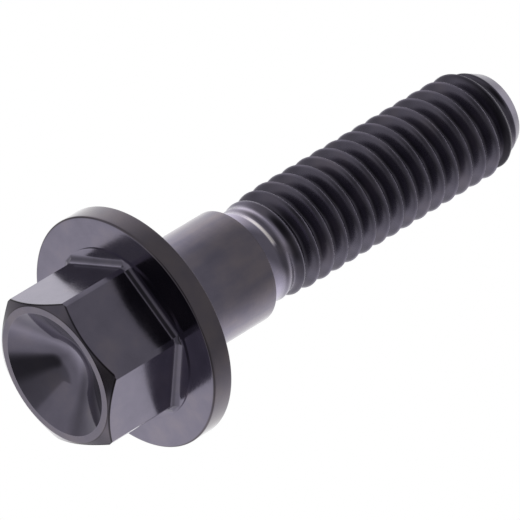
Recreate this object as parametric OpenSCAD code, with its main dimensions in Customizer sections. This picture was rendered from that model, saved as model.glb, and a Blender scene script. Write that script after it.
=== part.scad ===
// Black hex flange bolt with a dished head and a rolled metric thread.
// Millimetres, +Z up. The bolt stands on z = 0 on the flat rim around the dish in its head, with its
// shank rising to the tip. The outlines below are drawn from the flange's bearing face.

/* [Head] */
// Width across the hex flats
hex_width = 7.75; // [6.5:0.05:9]
// Height of the head, from the bearing face to the rim
head_height = 6; // [5:0.1:9]
// Width of the turned strip that is left at each hex corner
corner_strip = 0.38; // [0.1:0.02:0.8]
// Distance from a flat to the top edge of the corner chamfer
rim_setback = 0.12; // [0:0.02:0.5]
// Slope of the corner chamfer, from the rim plane
chamfer_angle = 30; // [15:1:45]
// Width of the flat rim around the dish
rim_width = 0.39; // [0.15:0.01:1]
// Slope of the dish's wall, from the rim plane
dish_angle = 35; // [15:1:45]
// Radius of the dish's rounded bottom
dish_round = 2.8; // [0.5:0.1:4]
// Radius left by the cutter at the foot of each flat
foot_radius = 0.34; // [0.1:0.02:0.6]

/* [Flange] */
// Diameter of the flange
flange_d = 12.8; // [11:0.1:16]
// Height of the flange's rim
flange_rim = 1.2; // [0.8:0.05:2]
// Rise of the flange's face from its rim to the hex
flange_rise = 0.05; // [0:0.01:0.4]
// Height of the milled ledges over the flange's face
ledge_step = 0.08; // [0.02:0.01:0.3]
// Edge break of the flange's rim
flange_edge = 0.1; // [0.02:0.01:0.3]

/* [Shank] */
// Diameter of the plain shank
shank_d = 6.22; // [5.9:0.01:7]
// Length of the plain shank under the flange
shank_length = 6.4; // [3:0.1:12]
// Fillet under the flange
under_head_radius = 0.25; // [0.05:0.05:0.6]
// Edge break at the shank's end
shank_edge = 0.05; // [0.01:0.01:0.15]

/* [Thread] */
// Diameter over the thread's crests
thread_d = 5.7; // [5.4:0.01:5.85]
// Pitch of the right-hand thread
pitch = 1; // [0.7:0.05:1.25]
// Width of the crest's flat
crest_flat = 0.14; // [0.05:0.01:0.25]
// Width of the root's flat
root_flat = 0.16; // [0.05:0.01:0.25]
// Angle between the thread's flanks
flank_angle = 60; // [55:1:65]
// Diameter of the neck, which is the blank before rolling
neck_d = 5.2; // [4.9:0.01:5.35]
// Length of the bare neck before the thread's first trace
neck_length = 1; // [0.6:0.1:3]
// Turns over which the thread grows to its full depth
runout_turns = 2.7; // [0.5:0.1:4]
// Length under the flange, to the tip
bolt_length = 25; // [18:0.5:40]
// Turn of the thread about the axis, from the first hex corner
thread_turn = 0; // [0:5:360]

/* [Tip] */
// Diameter of the tip's end face
tip_d = 4.1; // [3:0.1:4.2]
// Length of the tip's chamfer
tip_length = 1.65; // [0.8:0.05:3]

/* [Hidden] */
$fn = 72;
turn_steps = 36;     // thread stations in one turn
arc_steps = 5;       // straight pieces in a drawn arc

blank_r = hex_width / sqrt(3) - corner_strip / (2 * tan(60));
rim_r = hex_width / 2 - rim_setback;
dish_r = rim_r - rim_width;
chamfer_drop = (blank_r - rim_r) * tan(chamfer_angle);
corner_radius = 0.8 * foot_radius;
boss_r = blank_r + corner_radius;
flange_r = flange_d / 2;
cut_reach = flange_d; // how far a flat's cutter reaches past the head
face_z = -(flange_rim + flange_rise);
ledge_z = face_z - ledge_step;
crest_r = thread_d / 2;
neck_r = neck_d / 2;
tip_r = tip_d / 2;
flank_run = (pitch - crest_flat - root_flat) / 2;
root_r = crest_r - flank_run / tan(flank_angle / 2);

// Points of an arc about [x, y], counted in degrees from +X, both ends included.
function arc(x, y, r, from, to) =
    [for (i = [0 : arc_steps]) let (a = from + (to - from) * i / arc_steps) [x + r * cos(a), y + r * sin(a)]];

// Outline of the head, flange and shank as they leave the lathe: radius and height.
dish_bottom_z = -head_height + dish_r * tan(dish_angle) - dish_round / cos(dish_angle);
turned_outline = concat(
    [for (i = [0 : arc_steps]) let (a = dish_angle * i / arc_steps)
        [dish_round * sin(a), dish_bottom_z + dish_round * cos(a)]],
    [[dish_r, -head_height], [rim_r, -head_height], [blank_r, -head_height + chamfer_drop]],
    arc(boss_r, ledge_z - corner_radius, corner_radius, 180, 90),
    [[boss_r, face_z], [flange_r - flange_edge, -flange_rim], [flange_r, -flange_rim + flange_edge],
     [flange_r, -flange_edge], [flange_r - flange_edge, 0]],
    arc(shank_d / 2 + under_head_radius, under_head_radius, under_head_radius, 270, 180),
    [[shank_d / 2, shank_length - shank_edge], [shank_d / 2 - shank_edge, shank_length], [0, shank_length]]);

// Section of the cutter that mills one flat, with its rounded corner at the foot.
flat_outline = concat(
    arc(hex_width / 2 + foot_radius, ledge_z - foot_radius, foot_radius, 180, 90),
    [[cut_reach, ledge_z], [cut_reach, -head_height - cut_reach], [hex_width / 2, -head_height - cut_reach]]);

module milled_flat() {
    translate([0, -cut_reach / 2, 0])
        rotate([90, 0, 180])
            mirror([1, 0, 0])
                linear_extrude(cut_reach) polygon(flat_outline);
}

module turned_body() {
    difference() {
        rotate_extrude() polygon(turned_outline);
        for (i = [0 : 5]) rotate(30 + 60 * i) milled_flat();
    }
}

// The thread is one closed skin. Each station of the helix has four points: the end of the root,
// both edges of the crest and the start of the next root. One turn later comes the next root.
thread_z = shank_length + neck_length;
root_end_z = bolt_length - tip_length * max(0.1, (root_r - tip_r) / (crest_r - tip_r));
last = floor((root_end_z - pitch - thread_z) / pitch * turn_steps) - 1;
offsets = [0, flank_run, flank_run + crest_flat, pitch - root_flat];

function growth(m) = sin(90 * min(1, (m / turn_steps + 0.25) / runout_turns));
function fade(m) = min(1, 0.05 + max(0, last - m) / turn_steps);
function tip_limit(z) = min(crest_r, tip_r + (crest_r - tip_r) * (bolt_length - z) / tip_length);
function crest_at(m) = root_r + fade(m) * (crest_r - root_r);
function station_r(m, j) = neck_r + growth(m) * ((j == 1 || j == 2 ? crest_at(m) : root_r) - neck_r);
function on_circle(m, r, z) = let (a = thread_turn + 360 * m / turn_steps) [r * cos(a), r * sin(a), z];
function station_point(m, j) =
    let (z = thread_z + offsets[j] + pitch * m / turn_steps) on_circle(m, min(station_r(m, j), tip_limit(z)), z);
function circle_points(m0, r, z) = [for (m = [0 : turn_steps - 1]) on_circle(m0 + m, r, z)];

// Index of a point on the skin, where the fifth point of a station is the first one a turn later.
function at(m, j) = j == 4 ? 4 * (m + turn_steps) : 4 * m + j;

// Two triangles over a four-sided patch, named in turn round its edge.
function patch(p, q, r, s) = [[p, q, r], [p, r, s]];

module thread() {
    buried_z = shank_length / 2;
    skin = [for (m = [0 : last + turn_steps], j = [0 : 3]) station_point(m, j)];
    rings = concat(circle_points(0, neck_r, buried_z), circle_points(0, neck_r, thread_z - 0.1 * pitch),
                   circle_points(last, tip_r, bolt_length));
    first = len(skin);
    low = function (m) first + m % turn_steps;
    neck = function (m) first + turn_steps + m % turn_steps;
    high = function (m) first + 2 * turn_steps + m % turn_steps;
    turn = [0 : turn_steps - 1];
    faces = concat(
        [for (m = [0 : last - 1], j = [0 : 3]) each patch(at(m, j), at(m, j + 1), at(m + 1, j + 1), at(m + 1, j))],
        [for (m = turn) each patch(low(m), neck(m), neck(m + 1), low(m + 1))],
        [for (m = turn) each patch(neck(m), at(m, 0), at(m + 1, 0), neck(m + 1))],
        [for (m = turn) each patch(at(last + m, 0), high(m), high(m + 1), at(last + m + 1, 0))],
        [each patch(at(0, 0), at(0, 3), at(0, 2), at(0, 1)), each patch(neck(0), at(0, 4), at(0, 3), at(0, 0))],
        [each patch(at(last, 0), at(last, 1), at(last, 2), at(last, 3)),
         each patch(high(0), at(last, 0), at(last, 3), at(last, 4))],
        [[for (m = turn) low(m)], [for (m = turn) high(turn_steps - 1 - m)]]);
    polyhedron(concat(skin, rings), faces, convexity = 10);
}

module bolt() {
    color("#2b2a30") translate([0, 0, head_height]) union() {
        turned_body();
        thread();
    }
}

bolt();
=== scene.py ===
"""Black hex flange bolt with a dished head, standing on its head in a plain white studio."""

import math

import bmesh
import bpy
from mathutils import Matrix, Vector


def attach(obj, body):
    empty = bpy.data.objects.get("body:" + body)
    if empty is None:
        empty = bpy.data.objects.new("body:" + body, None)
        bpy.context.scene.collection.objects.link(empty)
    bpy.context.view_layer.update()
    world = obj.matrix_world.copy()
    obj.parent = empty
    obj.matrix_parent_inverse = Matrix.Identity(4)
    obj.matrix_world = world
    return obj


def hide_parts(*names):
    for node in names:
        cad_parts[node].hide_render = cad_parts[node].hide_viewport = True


bl_info = {
    "name": "Dished flange bolt",
    "version": (1, 0, 0),
    "blender": (4, 5, 0),
    "location": "View3D > Sidebar > Bolt",
    "description": "Builds a black hex flange bolt with a dished head, and a plain studio around it",
    "category": "Object",
}

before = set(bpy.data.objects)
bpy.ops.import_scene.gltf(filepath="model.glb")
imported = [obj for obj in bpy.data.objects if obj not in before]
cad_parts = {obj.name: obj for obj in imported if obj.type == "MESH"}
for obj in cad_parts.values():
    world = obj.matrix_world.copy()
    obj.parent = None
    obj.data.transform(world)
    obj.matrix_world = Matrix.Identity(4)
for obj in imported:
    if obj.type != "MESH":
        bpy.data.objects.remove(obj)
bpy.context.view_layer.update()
MM = 0.001
PHOTO_PIXELS = 520
DISH_STEPS = 28
MIRROR_BOUNCES = 12


def length(name, description, millimetres):
    """A length property whose default is given in millimetres."""
    return bpy.props.FloatProperty(
        name=name, description=description, default=millimetres * MM, unit="LENGTH", precision=5, min=0.0
    )


def tint(name, description, colour):
    """A colour property."""
    return bpy.props.FloatVectorProperty(
        name=name, description=description, default=colour, subtype="COLOR", size=3, min=0.0, max=1.0
    )


def amount(name, description, value, low=0.0, high=10.0):
    """A plain number property."""
    return bpy.props.FloatProperty(name=name, description=description, default=value, min=low, max=high)


class BOLT_PG_sizes(bpy.types.PropertyGroup):
    """Sizes of the bolt."""

    hex_width: length("Hex width", "Width across the hex flats", 7.75)
    head_height: length("Head height", "From the bearing face to the rim", 6.0)
    corner_strip: length("Corner strip", "Turned strip left at each hex corner", 0.3)
    rim_setback: length("Rim setback", "From a flat to the top edge of the corner chamfer", 0.12)
    rim_width: length("Rim width", "Flat rim around the dish", 0.37)
    dish_round: length("Dish bottom radius", "Radius of the dish's rounded bottom", 2.8)
    foot_radius: length("Foot radius", "Radius left by the cutter at the foot of each flat", 0.4)
    flange_d: length("Flange diameter", "Diameter of the flange", 12.8)
    flange_rim: length("Flange rim", "Height of the flange's rim", 1.2)
    flange_rise: length("Flange rise", "Rise of the flange's face to the hex", 0.05)
    ledge_step: length("Ledge step", "Height of the milled ledges over the flange's face", 0.08)
    flange_edge: length("Flange edge", "Edge break of the flange's face", 0.1)
    bearing_edge: length("Bearing edge", "Edge break of the flange's bearing side", 0.03)
    shank_d: length("Shank diameter", "Diameter of the plain shank", 6.22)
    shank_length: length("Shank length", "Plain shank under the flange", 6.4)
    under_head_radius: length("Under-head radius", "Fillet under the flange", 0.25)
    shank_edge: length("Shank edge", "Edge break at the shank's end", 0.02)
    thread_d: length("Thread diameter", "Diameter over the crests", 5.75)
    pitch: length("Pitch", "Pitch of the right-hand thread", 1.0)
    crest_flat: length("Crest flat", "Width of the crest", 0.14)
    root_flat: length("Root flat", "Width of the root", 0.16)
    neck_d: length("Neck diameter", "Diameter of the blank before rolling", 5.2)
    neck_length: length("Neck length", "Bare neck before the thread's first trace", 1.0)
    runout_length: length("Run-out length", "Length over which the crests grow to full height", 2.75)
    groove_length: length("Groove length", "Length over which the grooves grow to full depth", 1.7)
    lead_depth: length("Lead depth", "Depth of the shallow start of the first groove", 0.08)
    bolt_length: length("Bolt length", "Length under the flange", 25.0)
    tip_d: length("Tip diameter", "Diameter of the tip's end face", 4.2)
    tip_length: length("Tip length", "Length of the tip's chamfer", 1.5)
    edge_round: length("Edge round", "Width of the small bevel on sharp edges", 0.018)
    chamfer_angle: bpy.props.FloatProperty(
        name="Chamfer angle", description="Slope of the corner chamfer", default=math.radians(30), subtype="ANGLE"
    )
    dish_angle: bpy.props.FloatProperty(
        name="Dish angle", description="Slope of the dish's wall", default=math.radians(35), subtype="ANGLE"
    )
    flank_angle: bpy.props.FloatProperty(
        name="Flank angle", description="Angle between the thread's flanks", default=math.radians(60), subtype="ANGLE"
    )


class BOLT_PG_finish(bpy.types.PropertyGroup):
    """Colours and gloss of the black coating."""

    coat_colour: tint("Coating", "Reflection colour of the black coating", (0.208, 0.191, 0.25))
    warm_colour: tint("Warm coating", "Reflection colour where the coating is browner", (0.224, 0.192, 0.206))
    # Colour of the painted highlight streak at the start of the thread.
    streak_highlight_colour: tint("Bare steel", "Reflection colour of the rubbed start of the thread", (0.216, 0.202, 0.204))
    coat_roughness: amount("Roughness", "Roughness of the coating", 0.16, 0.0, 1.0)
    thread_roughness: amount("Thread roughness", "Roughness that rolling adds on the thread", 0.12, 0.0, 1.0)
    bare_neck: amount("Bare neck", "Extra reflection of the rubbed neck", 1.05)
    thread_shade: amount("Thread shade", "Darkening of the thread", 0.26, 0.0, 1.0)
    rim_shade: amount("Rim shade", "Darkening of the flange's rim", 0.36, 0.0, 1.0)
    shank_haze: amount("Shank haze", "Roughness that drawing adds on the shank", 0.05, 0.0, 1.0)


class BOLT_PG_studio(bpy.types.PropertyGroup):
    """Light and camera."""

    white_level: amount("White", "Brightness of the white sweep behind the bolt", 1.25)
    room_level: amount("Room", "Brightness of the grey room on the camera's side", 0.34)
    window_level: amount("Window", "Brightness that the left side of the room adds", 0.13)
    floor_level: amount("Table", "Brightness that the white table below the head adds", 0.19)
    side_card: amount("Side card", "Darkness of the card beside the head", 0.64, 0.0, 1.0)
    low_card: amount("Low card", "Darkness of the sweep's foot behind the head", 0.45, 0.0, 1.0)
    table_shade: amount("Table shade", "Darkness of the table's edge below the camera", 0.42, 0.0, 1.0)
    camera_card: amount("Camera card", "Darkness of the card below the camera", 0.63, 0.0, 1.0)
    camera_shade: amount("Camera shade", "Darkness of the camera itself", 0.85, 0.0, 1.0)
    key_level: amount("Softbox", "Brightness of the softbox over the tip", 0.6)


class Outline:
    """Sizes in millimetres with the values that follow from them; the bearing face is z = 0."""

    def __init__(self, sizes):
        for name in sizes.bl_rna.properties.keys():
            value = getattr(sizes, name)
            if isinstance(value, float):
                setattr(self, name, value if name.endswith("angle") else value / MM)
        self.half_hex = self.hex_width / 2
        self.blank_r = self.hex_width / math.sqrt(3) - self.corner_strip / (2 * math.tan(math.radians(60)))
        self.rim_r = self.half_hex - self.rim_setback
        self.dish_r = self.rim_r - self.rim_width
        self.corner_radius = 0.8 * self.foot_radius
        self.boss_r = self.blank_r + self.corner_radius
        self.flange_r = self.flange_d / 2
        self.face_z = -(self.flange_rim + self.flange_rise)
        self.ledge_z = self.face_z - self.ledge_step
        self.shank_r = self.shank_d / 2
        self.crest_r = self.thread_d / 2
        self.neck_r = self.neck_d / 2
        self.tip_r = self.tip_d / 2
        self.flank_slope = 1 / math.tan(self.flank_angle / 2)
        self.flank_run = (self.pitch - self.crest_flat - self.root_flat) / 2
        self.root_r = self.crest_r - self.flank_run * self.flank_slope
        self.first_crest_z = self.shank_length + self.neck_length + self.flank_run + self.crest_flat / 2
        self.thread_z = self.first_crest_z - 0.27 * self.pitch
        self.groove_z = self.first_crest_z - 0.12 * self.pitch


class Column:
    """One straight line of points down the head: its angle, and the flat it lies on if any."""

    def __init__(self, angle, flat_angle=None):
        self.angle = angle
        self.out = Vector((math.cos(angle), math.sin(angle), 0))
        self.flat_angle = flat_angle
        if flat_angle is not None:
            self.normal = Vector((math.cos(flat_angle), math.sin(flat_angle), 0))
            self.along = Vector((-math.sin(flat_angle), math.cos(flat_angle), 0))
            self.lean = angle - flat_angle

    def at(self, radius, z):
        return self.out * radius + Vector((0, 0, z))


def head_columns(o, flat_steps=40, strip_steps=4):
    """Columns round the head, with a pair close together at each edge of a flat."""
    reach = math.acos(o.half_hex / o.blank_r)
    guard = 0.06 / o.blank_r
    columns = []
    for i in range(6):
        centre = math.radians(30 + 60 * i)
        inner = reach - guard
        leans = [-reach] + [-inner + 2 * inner * k / flat_steps for k in range(flat_steps + 1)] + [reach]
        columns += [Column(centre + lean, centre) for lean in leans]
        start, stop = reach + guard, math.radians(60) - reach - guard
        columns += [Column(centre + start + (stop - start) * k / strip_steps) for k in range(strip_steps + 1)]
    return columns


def head_rows(o):
    """Where each ring of the head, flange and shank puts a column's point, from the dish to the thread."""
    guard = 0.06
    rows = []

    def turned(radius, z):
        rows.append(lambda c: c.at(radius, z))

    def turned_arc(radius, z, arc_radius, start, stop, steps=8):
        for k in range(steps + 1):
            a = math.radians(start + (stop - start) * k / steps)
            turned(radius + arc_radius * math.cos(a), z + arc_radius * math.sin(a))

    def wall_r(c):
        return o.blank_r if c.flat_angle is None else o.half_hex / math.cos(c.lean)

    def chamfer_z(radius):
        return -o.head_height + (radius - o.rim_r) * math.tan(o.chamfer_angle)

    def foot_z(c):
        return o.ledge_z - (o.corner_radius if c.flat_angle is None else o.foot_radius)

    def wall(share, offset=0.0):
        def place(c):
            radius = wall_r(c)
            top, foot = chamfer_z(radius), foot_z(c)
            return c.at(radius, top + (foot - top) * share + offset)

        rows.append(place)

    def chamfer(share):
        rows.append(lambda c: c.at(*[
            (r, chamfer_z(r)) for r in [o.rim_r + (wall_r(c) - o.rim_r) * share]
        ][0]))

    def foot(turn):
        def place(c):
            if c.flat_angle is None:
                radius = o.blank_r + o.corner_radius * (1 - math.cos(turn))
                return c.at(radius, o.ledge_z - o.corner_radius * (1 - math.sin(turn)))
            out = o.half_hex + o.foot_radius * (1 - math.cos(turn))
            side = o.half_hex * math.tan(c.lean)
            out = min(out, math.sqrt(o.boss_r ** 2 - side ** 2) - 0.01 * (1 - math.sin(turn)))
            z = o.ledge_z - o.foot_radius * (1 - math.sin(turn))
            return c.normal * out + c.along * side + Vector((0, 0, z))

        rows.append(place)

    bottom_z = -o.head_height + o.dish_r * math.tan(o.dish_angle) - o.dish_round / math.cos(o.dish_angle)
    for k in range(1, DISH_STEPS + 1):
        a = o.dish_angle * k / DISH_STEPS
        turned(o.dish_round * math.sin(a), bottom_z + o.dish_round * math.cos(a))
    wall_foot = o.dish_round * math.sin(o.dish_angle)
    wall_radii = [wall_foot + (o.dish_r - guard - wall_foot) * k / DISH_STEPS for k in range(1, DISH_STEPS + 1)]
    for radius in wall_radii + [o.dish_r]:
        turned(radius, -o.head_height + (o.dish_r - radius) * math.tan(o.dish_angle))
    for radius in (o.dish_r + guard, o.rim_r - guard, o.rim_r):
        turned(radius, -o.head_height)
    for share in (0.3, 0.7, 1.0):
        chamfer(share)
    wall(0, guard)
    for share in (0.3, 0.6, 0.95, 1.0):
        wall(share)
    for k in range(1, 9):
        foot(math.pi / 2 * k / 8)
    turned(o.boss_r, o.ledge_z)
    turned(o.boss_r, o.face_z)
    for share in (0.05, 0.5, 0.95):
        turned(o.boss_r + (o.flange_r - o.flange_edge - o.boss_r) * share, o.face_z + o.flange_rise * share)
    turned_arc(o.flange_r - o.flange_edge, -o.flange_rim + o.flange_edge, o.flange_edge, -90, 0)
    for share in (0.1, 0.9):
        turned(o.flange_r, -o.flange_rim + o.flange_edge + (o.flange_rim - o.flange_edge - o.bearing_edge) * share)
    bearing_r = o.flange_r - o.bearing_edge
    turned_arc(bearing_r, -o.bearing_edge, o.bearing_edge, 0, 90)
    for share in (0.05, 0.95):
        turned(bearing_r + (o.shank_r + o.under_head_radius - bearing_r) * share, 0)
    turned_arc(o.shank_r + o.under_head_radius, o.under_head_radius, o.under_head_radius, 270, 180)
    for share in (0.03, 0.5, 0.97):
        span = o.shank_length - o.shank_edge - o.under_head_radius
        turned(o.shank_r, o.under_head_radius + span * share)
    turned_arc(o.shank_r - o.shank_edge, o.shank_length - o.shank_edge, o.shank_edge, 0, 90)
    return rows


def turned_head(bm, o):
    """Head, flange and shank, grown ring by ring from the middle of the dish; gives back the last ring's edges."""
    columns = head_columns(o)
    rows = head_rows(o)
    layer = bm.verts.layers.int.new("column")
    disc = bmesh.ops.create_circle(bm, cap_ends=True, cap_tris=True, segments=len(columns), radius=0.1)
    bm.verts.ensure_lookup_table()
    rim = [v for v in disc["verts"] if v.co.length > 0.05]
    for v in disc["verts"]:
        v.co.z = rows[0](columns[0]).z
    rim.sort(key=lambda v: math.atan2(v.co.y, v.co.x) % (2 * math.pi))
    for k, v in enumerate(rim):
        v[layer] = k
        v.co = rows[0](columns[k])
    top = min(disc["verts"], key=lambda v: v.co.x ** 2 + v.co.y ** 2)
    top.co.z += o.dish_round * (1 - math.cos(o.dish_angle / DISH_STEPS))
    ring = [e for e in bm.edges if all(v in rim for v in e.verts)]
    for place in rows[1:]:
        grown = bmesh.ops.extrude_edge_only(bm, edges=ring)["geom"]
        fresh = {g for g in grown if isinstance(g, bmesh.types.BMVert)}
        for v in fresh:
            v.co = place(columns[v[layer]])
        ring = [g for g in grown if isinstance(g, bmesh.types.BMEdge) and fresh.issuperset(g.verts)]
    return ring


def soften_edges(bm, o):
    """A small bevel on every sharp outer edge."""
    bmesh.ops.recalc_face_normals(bm, faces=bm.faces)
    sharp = [
        e for e in bm.edges
        if e.is_manifold and e.is_convex and e.calc_face_angle() > math.radians(24)
    ]
    bmesh.ops.bevel(
        bm, geom=sharp, offset=o.edge_round, offset_type="OFFSET", segments=2, profile=0.5,
        affect="EDGES", material=-1, clamp_overlap=True
    )


def soft_min(a, b, width):
    """The smaller of two numbers, with the corner between them rounded."""
    return min(a, b) - max(width - abs(a - b), 0) ** 2 / (4 * width)


def rise(value, low, high):
    """Goes smoothly from 0 to 1 as the value goes from low to high."""
    t = min(1, max(0, (value - low) / (high - low)))
    return t * t * (3 - 2 * t)


def grown(z, start, reach):
    """Share of its full depth that the thread has at a height."""
    return math.sin(math.pi / 2 * min(1, max(0, z - start) / reach))


def lead_share(o, crest_z):
    """How far the shallow start of the first groove is there, by the height of its turn's crest."""
    turn = (o.first_crest_z - crest_z) / o.pitch
    return rise(turn, 0.17, 0.215) * (1 - rise(turn, 0.47, 0.55))


def thread_radius(o, crest_z, offset):
    """Radius of the rolled skin at a distance along the axis from the crest of its turn."""
    flank = o.crest_r - (abs(offset) - o.crest_flat / 2) * o.flank_slope
    crest = soft_min(o.crest_r, flank, 0.24 * o.pitch)
    z = crest_z + offset
    root = o.root_r + 0.1 * rise(z, o.bolt_length - 1.3, o.bolt_length - 0.6)
    section = -soft_min(-root, -crest, 0.15 * o.pitch)
    height = section - o.neck_r
    ridge = -soft_min(0, -height, 0.16 * o.pitch) * grown(z, o.thread_z, o.runout_length)
    groove = -soft_min(0, height, 0.16 * o.pitch) * rise(z, o.groove_z - 0.1, o.groove_z + o.groove_length)
    step = offset / o.pitch
    lead = o.lead_depth * lead_share(o, crest_z) * rise(step, -0.28, 0.12) * (1 - rise(step, 0.12, 0.5))
    tip = o.tip_r + (o.crest_r - o.tip_r) * (o.bolt_length - z) / o.tip_length
    return soft_min(o.neck_r + ridge - groove - lead, tip, 0.2 * o.pitch)


def rolled_thread(bm, o, section_steps=24, turn_steps=96):
    """Neck, thread and tip: a strip wound up the axis, closed turn to turn and cut off square at both ends."""
    below = math.ceil((o.first_crest_z - o.shank_length) / o.pitch) + 1
    turns = below + math.ceil((o.bolt_length - o.first_crest_z) / o.pitch) + 2
    start_z = o.first_crest_z - below * o.pitch
    old = set(bm.verts)
    strip = bmesh.ops.create_grid(bm, x_segments=turns * turn_steps, y_segments=section_steps, size=1.0)
    for v in strip["verts"]:
        turn = (v.co.x + 1) / 2 * turns
        offset = o.pitch * v.co.y / 2
        angle = 2 * math.pi * turn
        crest_z = start_z + o.pitch * turn
        radius = thread_radius(o, crest_z, offset)
        v.co = (radius * math.cos(angle), radius * math.sin(angle), crest_z + offset)
    bmesh.ops.remove_doubles(bm, verts=[v for v in bm.verts if v not in old], dist=0.004)
    for z, side in ((o.shank_length, -1), (o.bolt_length, 1)):
        fresh = [v for v in bm.verts if v not in old]
        geom = set(fresh)
        for v in fresh:
            geom.update(v.link_edges)
            geom.update(v.link_faces)
        bmesh.ops.bisect_plane(
            bm, geom=list(geom), dist=1e-5, plane_co=(0, 0, z), plane_no=(0, 0, side), clear_outer=True
        )
    open_edges = [e for e in bm.edges if e.is_boundary and not (e.verts[0] in old or e.verts[1] in old)]
    low = [e for e in open_edges if abs(e.verts[0].co.z - o.shank_length) < 1e-3]
    high = [e for e in open_edges if abs(e.verts[0].co.z - o.bolt_length) < 1e-3]
    bmesh.ops.edgeloop_fill(bm, edges=high)
    return low


def make_bolt_mesh(o):
    """The whole bolt as one closed mesh, in metres, standing on its rim."""
    bm = bmesh.new()
    turned_head(bm, o)
    soften_edges(bm, o)
    ring = [e for e in bm.edges if e.is_boundary]
    low = rolled_thread(bm, o)
    bmesh.ops.bridge_loops(bm, edges=ring + low)
    bmesh.ops.recalc_face_normals(bm, faces=bm.faces)
    for f in bm.faces:
        f.smooth = True
    for e in bm.edges:
        middle = (e.verts[0].co + e.verts[1].co) / 2
        limit = math.radians(12 if middle.z < o.shank_length + 1e-3 else 35)
        e.smooth = not (e.is_manifold and e.calc_face_angle() > limit)
    bmesh.ops.translate(bm, verts=bm.verts, vec=(0, 0, o.head_height))
    bmesh.ops.scale(bm, verts=bm.verts, vec=(MM, MM, MM))
    mesh = bpy.data.meshes.new("flange_bolt")
    bm.to_mesh(mesh)
    bm.free()
    return mesh


class Wire:
    """A shader value that can be used in sums like a number."""

    def __init__(self, graph, socket):
        self.graph = graph
        self.socket = socket

    def _math(self, operation, *values):
        return self.graph.add("ShaderNodeMath", {"operation": operation}, dict(enumerate(values)))

    def __add__(self, other):
        return self._math("ADD", self, other)

    __radd__ = __add__

    def __mul__(self, other):
        return self._math("MULTIPLY", self, other)

    __rmul__ = __mul__

    def __sub__(self, other):
        return self._math("SUBTRACT", self, other)

    def __rsub__(self, other):
        return self._math("SUBTRACT", other, self)

    def __truediv__(self, other):
        return self._math("DIVIDE", self, other)

    def __pow__(self, other):
        return self._math("POWER", self, other)


class Graph:
    """A node tree that is filled one node at a time."""

    def __init__(self, owner):
        owner.use_nodes = True
        self.tree = owner.node_tree
        self.tree.nodes.clear()

    def add(self, kind, settings=None, sockets=None, out=0):
        """Makes a node, sets it up, links its sockets and gives back one of its outputs, or several."""
        node = self.tree.nodes.new(kind)
        for name, value in (settings or {}).items():
            if name == "stops":
                ramp = node.color_ramp
                while len(ramp.elements) < len(value):
                    ramp.elements.new(1.0)
                for element, (place, colour) in zip(ramp.elements, value):
                    element.position = place
                    element.color = colour
            else:
                setattr(node, name, value)
        for name, value in (sockets or {}).items():
            if isinstance(value, Wire):
                self.tree.links.new(value.socket, node.inputs[name])
            else:
                node.inputs[name].default_value = value
        if isinstance(out, tuple):
            return [Wire(self, node.outputs[name]) for name in out]
        return Wire(self, node.outputs[out]) if node.outputs else node

    def step(self, value, low, high):
        """Rises smoothly from 0 to 1 as the value goes from low to high."""
        return self.add(
            "ShaderNodeMapRange", {"interpolation_type": "SMOOTHSTEP"}, {0: value, 1: low, 2: high}
        )


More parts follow.
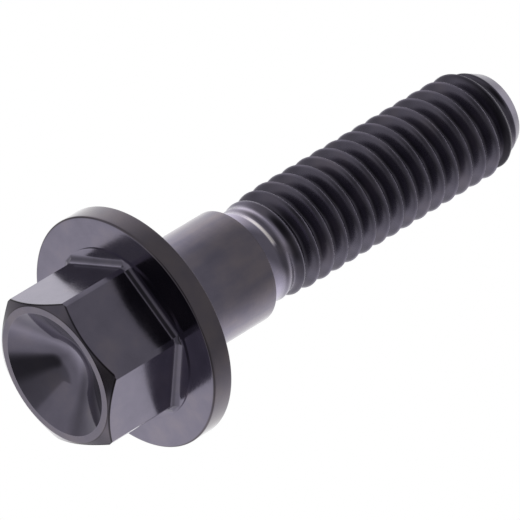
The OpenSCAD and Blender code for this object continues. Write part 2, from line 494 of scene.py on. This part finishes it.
def black_coating(finish, o):
    """Dark, glossy thin coating on turned and rolled steel, in zones that follow the bolt's sizes; some zones are
    painted shade and painted highlights.
    """
    material = bpy.data.materials.new("black_coating")
    g = Graph(material)
    place = g.add("ShaderNodeTexCoord", None, None, "Object")
    x, y, z = g.add("ShaderNodeSeparateXYZ", None, {0: place}, (0, 1, 2))
    radius = (x * x + y * y) ** 0.5 / MM
    height = z / MM - o.head_height
    angle = g.add("ShaderNodeMath", {"operation": "ARCTAN2"}, {0: y, 1: x})

    def noise(vector, features, detail=3.0):
        """Noise with a number of features in each unit of the vector, about 0."""
        return g.add("ShaderNodeTexNoise", None, {"Vector": vector, "Scale": features, "Detail": detail}) - 0.5

    def between(value, low, high, soft):
        return g.step(value, low - soft, low + soft) * (1 - g.step(value, high - soft, high + soft))

    def sector(start, stop, soft=0.12):
        """The part of the circle between two angles in degrees."""
        return between(angle, math.radians(start), math.radians(stop), soft)

    per_mm = 1 / MM
    turned = g.add("ShaderNodeCombineXYZ", None, {0: radius, 1: height})
    rings = noise(turned, 8.0)
    drawn = g.add("ShaderNodeCombineXYZ", None, {0: x, 1: y, 2: z * 0.2})
    streaks = noise(drawn, 1.6 * per_mm)
    blotches = noise(place, 0.7 * per_mm, 4.0)
    grain = noise(place, 12.0 * per_mm)

    on_shank = between(height, 0.1, o.shank_length, 0.02) * (1 - g.step(radius, o.shank_r + 0.1, o.shank_r + 0.2))
    on_thread = g.step(height, o.thread_z + 0.45, o.thread_z + 1.1)
    on_tip = g.step(height, o.bolt_length - 0.8, o.bolt_length - 0.55)
    on_crest = on_thread * g.step(radius, o.crest_r - 0.11, o.crest_r - 0.02)
    on_cut = between(height, o.bolt_length - 1.7, o.bolt_length - 0.5, 0.1) * g.step(radius, o.root_r + 0.15, o.root_r + 0.25)
    # Painted shade in the thread's roots.
    painted_root_shade = on_thread * (1 - g.step(radius, o.root_r + 0.06, o.root_r + 0.22)) * (1 - on_tip)
    on_runout = between(height, o.thread_z - 0.2, o.thread_z + 1.6, 0.3)
    on_rim = g.step(radius, o.flange_r - 0.12, o.flange_r - 0.03)
    on_end = g.step(radius, o.dish_r, o.dish_r + 0.02) * (1 - g.step(height, 0.02 - o.head_height, 0.04 - o.head_height))

    past_flat = radius * g.add("ShaderNodeMath", {"operation": "COSINE"}, {
        0: g.add("ShaderNodeMath", {"operation": "FLOORED_MODULO"}, {0: angle, 1: math.pi / 3}) - math.pi / 6,
    }) - o.half_hex
    past_chamfer = height + o.head_height - (radius - o.rim_r) * math.tan(o.chamfer_angle)
    on_head = 1 - g.step(height, o.ledge_z - 0.4, o.ledge_z)
    in_dish = on_head * (1 - g.step(radius, o.dish_r - 0.01, o.dish_r + 0.02))
    on_flats = on_head * g.step(past_flat, -0.1, -0.02)
    on_chamfer = on_head * g.step(radius, o.rim_r, o.rim_r + 0.03) * (1 - g.step(past_chamfer, 0.02, 0.05))
    # Painted shade: a dark line where the corner chamfers meet the flats.
    painted_edge_shade = on_chamfer * g.step(past_flat, -0.09, -0.03)

    from_crest = height - o.first_crest_z - angle * (o.pitch / (2 * math.pi))
    drift = 0.45 * (height - o.shank_length - o.pitch * 0.4)
    # Painted shade: a sector of the neck that drifts round with height is kept dark, and the neck is not lightened
    # there.
    painted_neck_shade = between(angle - drift, math.radians(-112), math.radians(-64), 0.18)
    painted_neck_shade = painted_neck_shade * g.step(height, o.shank_length - 0.1, o.shank_length - 0.06)
    on_neck = g.step(height, o.shank_length - 0.02, o.shank_length) * (1 - painted_neck_shade)
    on_neck = on_neck * (1 - g.step(height, o.thread_z - 0.6, o.thread_z + 0.25))
    # Painted highlight: a bright streak at the start of the first groove, given a steel colour and made 2.1 times
    # lighter below.
    painted_highlight_streak = g.step(angle, math.radians(-140), math.radians(-108)) * (1 - g.step(angle, math.radians(-84), math.radians(-76)))
    painted_highlight_streak = painted_highlight_streak * between(from_crest, -0.2, 0.05, 0.04)
    # Painted highlight on one side of the first ridge.
    painted_ridge_highlight = between(from_crest, 0.34, 0.6, 0.11) * sector(-152, -72)
    # Painted shade: dark bands in the first two grooves on one side, and painted shadow lines at the thread's start
    # and at the shank's end within the shaded sector of the neck.
    painted_groove_shade = 0.6 * between(from_crest, 0.1, 0.42, 0.12) * sector(-130, -74)
    painted_groove_shade = painted_groove_shade + 1.5 * between(from_crest, 0.68, 0.92, 0.12) * sector(-110, -50)
    painted_groove_shade = painted_groove_shade + 1.4 * painted_neck_shade * between(height, o.thread_z - 0.15, o.thread_z + 0.3, 0.12)
    painted_groove_shade = painted_groove_shade + 1.2 * painted_neck_shade * between(height, o.shank_length - 0.04, o.shank_length + 0.02, 0.02)

    shade = finish.thread_shade * on_thread * (1 - on_tip)
    shade = shade + finish.rim_shade * on_rim + 0.22 * on_end + 0.32 * on_tip
    shade = shade + on_shank * 0.12 * (g.step(height, 1.5, 5.5) - 0.6)
    shade = shade + 0.45 * on_cut + 0.3 * on_chamfer
    shade = shade + 0.22 * painted_root_shade + 0.3 * painted_groove_shade + 0.5 * painted_edge_shade
    # Lighter zones: the neck, the painted highlight streak, the painted highlight on the first ridge, and lighter
    # crests.
    lightening = finish.bare_neck * on_neck + 2.1 * painted_highlight_streak + 0.9 * painted_ridge_highlight + 0.45 * on_crest
    level = (1 - shade + lightening) * (1 + 0.55 * blotches + 0.5 * streaks * on_shank)
    warmth = 0.6 * on_rim + 0.3 * on_end + 0.3 * on_chamfer + 1.4 * blotches
    warmth = warmth + on_shank * (0.45 * g.step(height, 1.5, 5.5) + 1.2 * streaks)
    colour = g.add("ShaderNodeMix", {"data_type": "RGBA"}, {
        0: warmth, 6: (*finish.coat_colour, 1.0), 7: (*finish.warm_colour, 1.0),
    }, 2)
    colour = g.add("ShaderNodeMix", {"data_type": "RGBA"}, {
        0: painted_highlight_streak, 6: colour, 7: (*finish.streak_highlight_colour, 1.0),
    }, 2)
    base = g.add("ShaderNodeVectorMath", {"operation": "SCALE"}, {0: colour, "Scale": level})
    roughness = finish.coat_roughness + finish.thread_roughness * on_thread + finish.shank_haze * on_shank
    roughness = roughness + 0.08 * on_neck + 0.14 * on_crest + 0.16 * on_cut + 0.1 * on_runout - 0.05 * on_rim - 0.08 * in_dish
    relief = (rings * (1 - on_flats) * (1 - on_thread) + 0.5 * grain) * (1 - in_dish)
    normal = g.add("ShaderNodeBump", None, {"Strength": 1.0, "Distance": 0.0015 * MM, "Height": relief})
    shader = g.add("ShaderNodeBsdfPrincipled", None, {
        "Base Color": base,
        "Metallic": 1.0,
        "Roughness": roughness + (0.12 * blotches + 0.1 * grain) * (1 - in_dish),
        "Normal": normal,
    })
    g.add("ShaderNodeOutputMaterial", None, {"Surface": shader})
    return material


class BOLT_OT_make_bolt(bpy.types.Operator):
    """Builds the bolt and puts it in place of its CAD solid"""

    bl_idname = "mesh.make_flange_bolt"
    bl_label = "Make flange bolt"

    def execute(self, context):
        scene = context.scene
        outline = Outline(scene.bolt_sizes)
        mesh = make_bolt_mesh(outline)
        bolt = bpy.data.objects.new("flange_bolt", mesh)
        scene.collection.objects.link(bolt)
        mesh.materials.append(black_coating(scene.bolt_finish, outline))
        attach(bolt, "root")
        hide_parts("bolt")
        return {"FINISHED"}


def photo_axes():
    """The photo's right, up and towards-the-camera directions in the bolt's frame."""
    tilt, turn = math.radians(56.225), math.radians(31.253)
    axis = Vector((0, 0, 1))
    side = Vector((math.cos(math.radians(187.82)), math.sin(math.radians(187.82)), 0))
    near = Vector((math.cos(math.radians(277.82)), math.sin(math.radians(277.82)), 0))
    right = axis * (math.sin(tilt) * math.cos(turn)) - side * math.sin(turn) + near * (math.cos(tilt) * math.cos(turn))
    up = axis * (math.sin(tilt) * math.sin(turn)) + side * math.cos(turn) + near * (math.cos(tilt) * math.sin(turn))
    back = near * math.sin(tilt) - axis * math.cos(tilt)
    return right, up, back


def make_camera(scene):
    """Camera at the photo's place, which is below the plane that the bolt stands on."""
    right, up, back = photo_axes()
    data = bpy.data.cameras.new("photo_camera")
    data.sensor_width = 36.0
    data.lens = 8265.0 / PHOTO_PIXELS * data.sensor_width
    data.clip_start = 0.01
    data.clip_end = 10.0
    camera = bpy.data.objects.new("photo_camera", data)
    pixel = 0.0499
    place = Vector((0, 0, scene.bolt_sizes.head_height / MM))
    place += right * (5.928 - pixel / 2) + up * (3.076 + pixel / 2) + back * 412.2
    turn = Matrix((right, up, back)).transposed().to_4x4()
    camera.matrix_world = Matrix.Translation(place * MM) @ turn
    scene.collection.objects.link(camera)
    scene.camera = camera


def make_floor(scene):
    """White floor under the rim, seen only from above."""
    bm = bmesh.new()
    bmesh.ops.create_circle(bm, cap_ends=True, segments=64, radius=4.0)
    bmesh.ops.translate(bm, verts=bm.verts, vec=(0, 0, -0.05 * MM))
    mesh = bpy.data.meshes.new("floor")
    bm.to_mesh(mesh)
    bm.free()
    floor = bpy.data.objects.new("floor", mesh)
    material = bpy.data.materials.new("floor_white")
    g = Graph(material)
    camera_ray = g.add("ShaderNodeLightPath")
    under = g.add("ShaderNodeNewGeometry", None, None, "Backfacing")
    seen = camera_ray * (1 - under)
    lit = g.add("ShaderNodeBsdfDiffuse", None, {"Color": (0.9, 0.9, 0.9, 1.0)})
    glow = g.add("ShaderNodeEmission", None, {"Strength": 0.2})
    white = g.add("ShaderNodeAddShader", None, {0: lit, 1: glow})
    clear = g.add("ShaderNodeBsdfTransparent")
    surface = g.add("ShaderNodeMixShader", None, {0: seen, 1: clear, 2: white})
    g.add("ShaderNodeOutputMaterial", None, {"Surface": surface})
    mesh.materials.append(material)
    scene.collection.objects.link(floor)


def make_lamp(scene, name, place, aim, side, level, colour=(1.0, 1.0, 1.0)):
    """Square soft lamp that looks as bright as the level says, in the light of a white card."""
    data = bpy.data.lights.new(name, "AREA")
    data.shape = "SQUARE"
    data.size = side
    data.energy = level * math.pi * side * side
    data.color = colour
    lamp = bpy.data.objects.new(name, data)
    lamp.location = place
    lamp.rotation_mode = "QUATERNION"
    lamp.rotation_quaternion = (Vector(aim) - Vector(place)).to_track_quat("-Z", "Y")
    scene.collection.objects.link(lamp)
    return lamp


def make_world(scene):
    """White for the camera; in reflections a white sweep behind the bolt and a dark room in front."""
    studio = scene.bolt_studio
    right, up, back = photo_axes()
    world = bpy.data.worlds.new("studio")
    scene.world = world
    g = Graph(world)
    ray = g.add("ShaderNodeTexCoord", None, None, "Generated")

    def towards(direction):
        return g.add("ShaderNodeVectorMath", {"operation": "DOT_PRODUCT"}, {0: ray, 1: direction}, "Value")

    def card(direction, wide, narrow):
        return g.step(towards(direction.normalized()), math.cos(math.radians(wide)), math.cos(math.radians(narrow)))

    sweep = g.step(towards(-back), -0.15, 0.8)
    front = g.step(towards(back), 0.3, 0.5)
    level = studio.room_level + (studio.white_level - studio.room_level) * sweep
    level = level + studio.window_level * g.step(towards(-right), 0.5, 0.9)
    level = level + studio.floor_level * card(-0.3 * right - 0.95 * up - 0.05 * back, 28, 8)
    level = level * (1 - studio.side_card * card(-0.85 * right + 0.12 * up - 0.51 * back, 38, 12))
    level = level * (1 - studio.low_card * card(-0.25 * right - 0.72 * up - 0.65 * back, 28, 2))
    table = 0.154 * right + 0.934 * up + 0.322 * back
    level = level * (1 - studio.table_shade * front * g.step(towards(-table), -0.005, 0.025))
    level = level * (1 - studio.camera_card * card(-0.45 * right - 0.72 * up + 0.53 * back, 19.5, 6))
    level = level * (1 - studio.camera_shade * card(-0.1 * right + 0.2 * up + 0.97 * back, 40, 14))
    camera_ray = g.add("ShaderNodeLightPath")
    strength = level + camera_ray * (1 - level)
    background = g.add("ShaderNodeBackground", None, {"Color": (1.0, 1.0, 1.0, 1.0), "Strength": strength})
    g.add("ShaderNodeOutputWorld", None, {"Surface": background})


class BOLT_OT_make_studio(bpy.types.Operator):
    """Makes the floor, the lamps, the world and the camera"""

    bl_idname = "scene.make_bolt_studio"
    bl_label = "Make studio"

    def execute(self, context):
        scene = context.scene
        make_camera(scene)
        make_floor(scene)
        make_world(scene)
        make_lamp(scene, "softbox", (0, 0, 0.28), (0, 0, 0), 0.12, scene.bolt_studio.key_level)
        scene.view_settings.view_transform = "Standard"
        scene.cycles.glossy_bounces = MIRROR_BOUNCES
        scene.cycles.min_light_bounces = MIRROR_BOUNCES
        return {"FINISHED"}


class BOLT_PT_panel(bpy.types.Panel):
    """Sizes, finish and studio of the bolt"""

    bl_idname = "BOLT_PT_panel"
    bl_label = "Flange bolt"
    bl_space_type = "VIEW_3D"
    bl_region_type = "UI"
    bl_category = "Bolt"

    def draw(self, context):
        layout = self.layout
        for group in (context.scene.bolt_sizes, context.scene.bolt_finish, context.scene.bolt_studio):
            box = layout.box()
            for name in group.__annotations__:
                box.prop(group, name)
        layout.operator(BOLT_OT_make_bolt.bl_idname)
        layout.operator(BOLT_OT_make_studio.bl_idname)


CLASSES = (
    BOLT_PG_sizes,
    BOLT_PG_finish,
    BOLT_PG_studio,
    BOLT_OT_make_bolt,
    BOLT_OT_make_studio,
    BOLT_PT_panel,
)


def register():
    for cls in CLASSES:
        bpy.utils.register_class(cls)
    bpy.types.Scene.bolt_sizes = bpy.props.PointerProperty(type=BOLT_PG_sizes)
    bpy.types.Scene.bolt_finish = bpy.props.PointerProperty(type=BOLT_PG_finish)
    bpy.types.Scene.bolt_studio = bpy.props.PointerProperty(type=BOLT_PG_studio)


def unregister():
    del bpy.types.Scene.bolt_studio
    del bpy.types.Scene.bolt_finish
    del bpy.types.Scene.bolt_sizes
    for cls in reversed(CLASSES):
        bpy.utils.unregister_class(cls)


def main():
    register()
    bpy.ops.mesh.make_flange_bolt()
    bpy.ops.scene.make_bolt_studio()


if __name__ == "__main__":
    main()
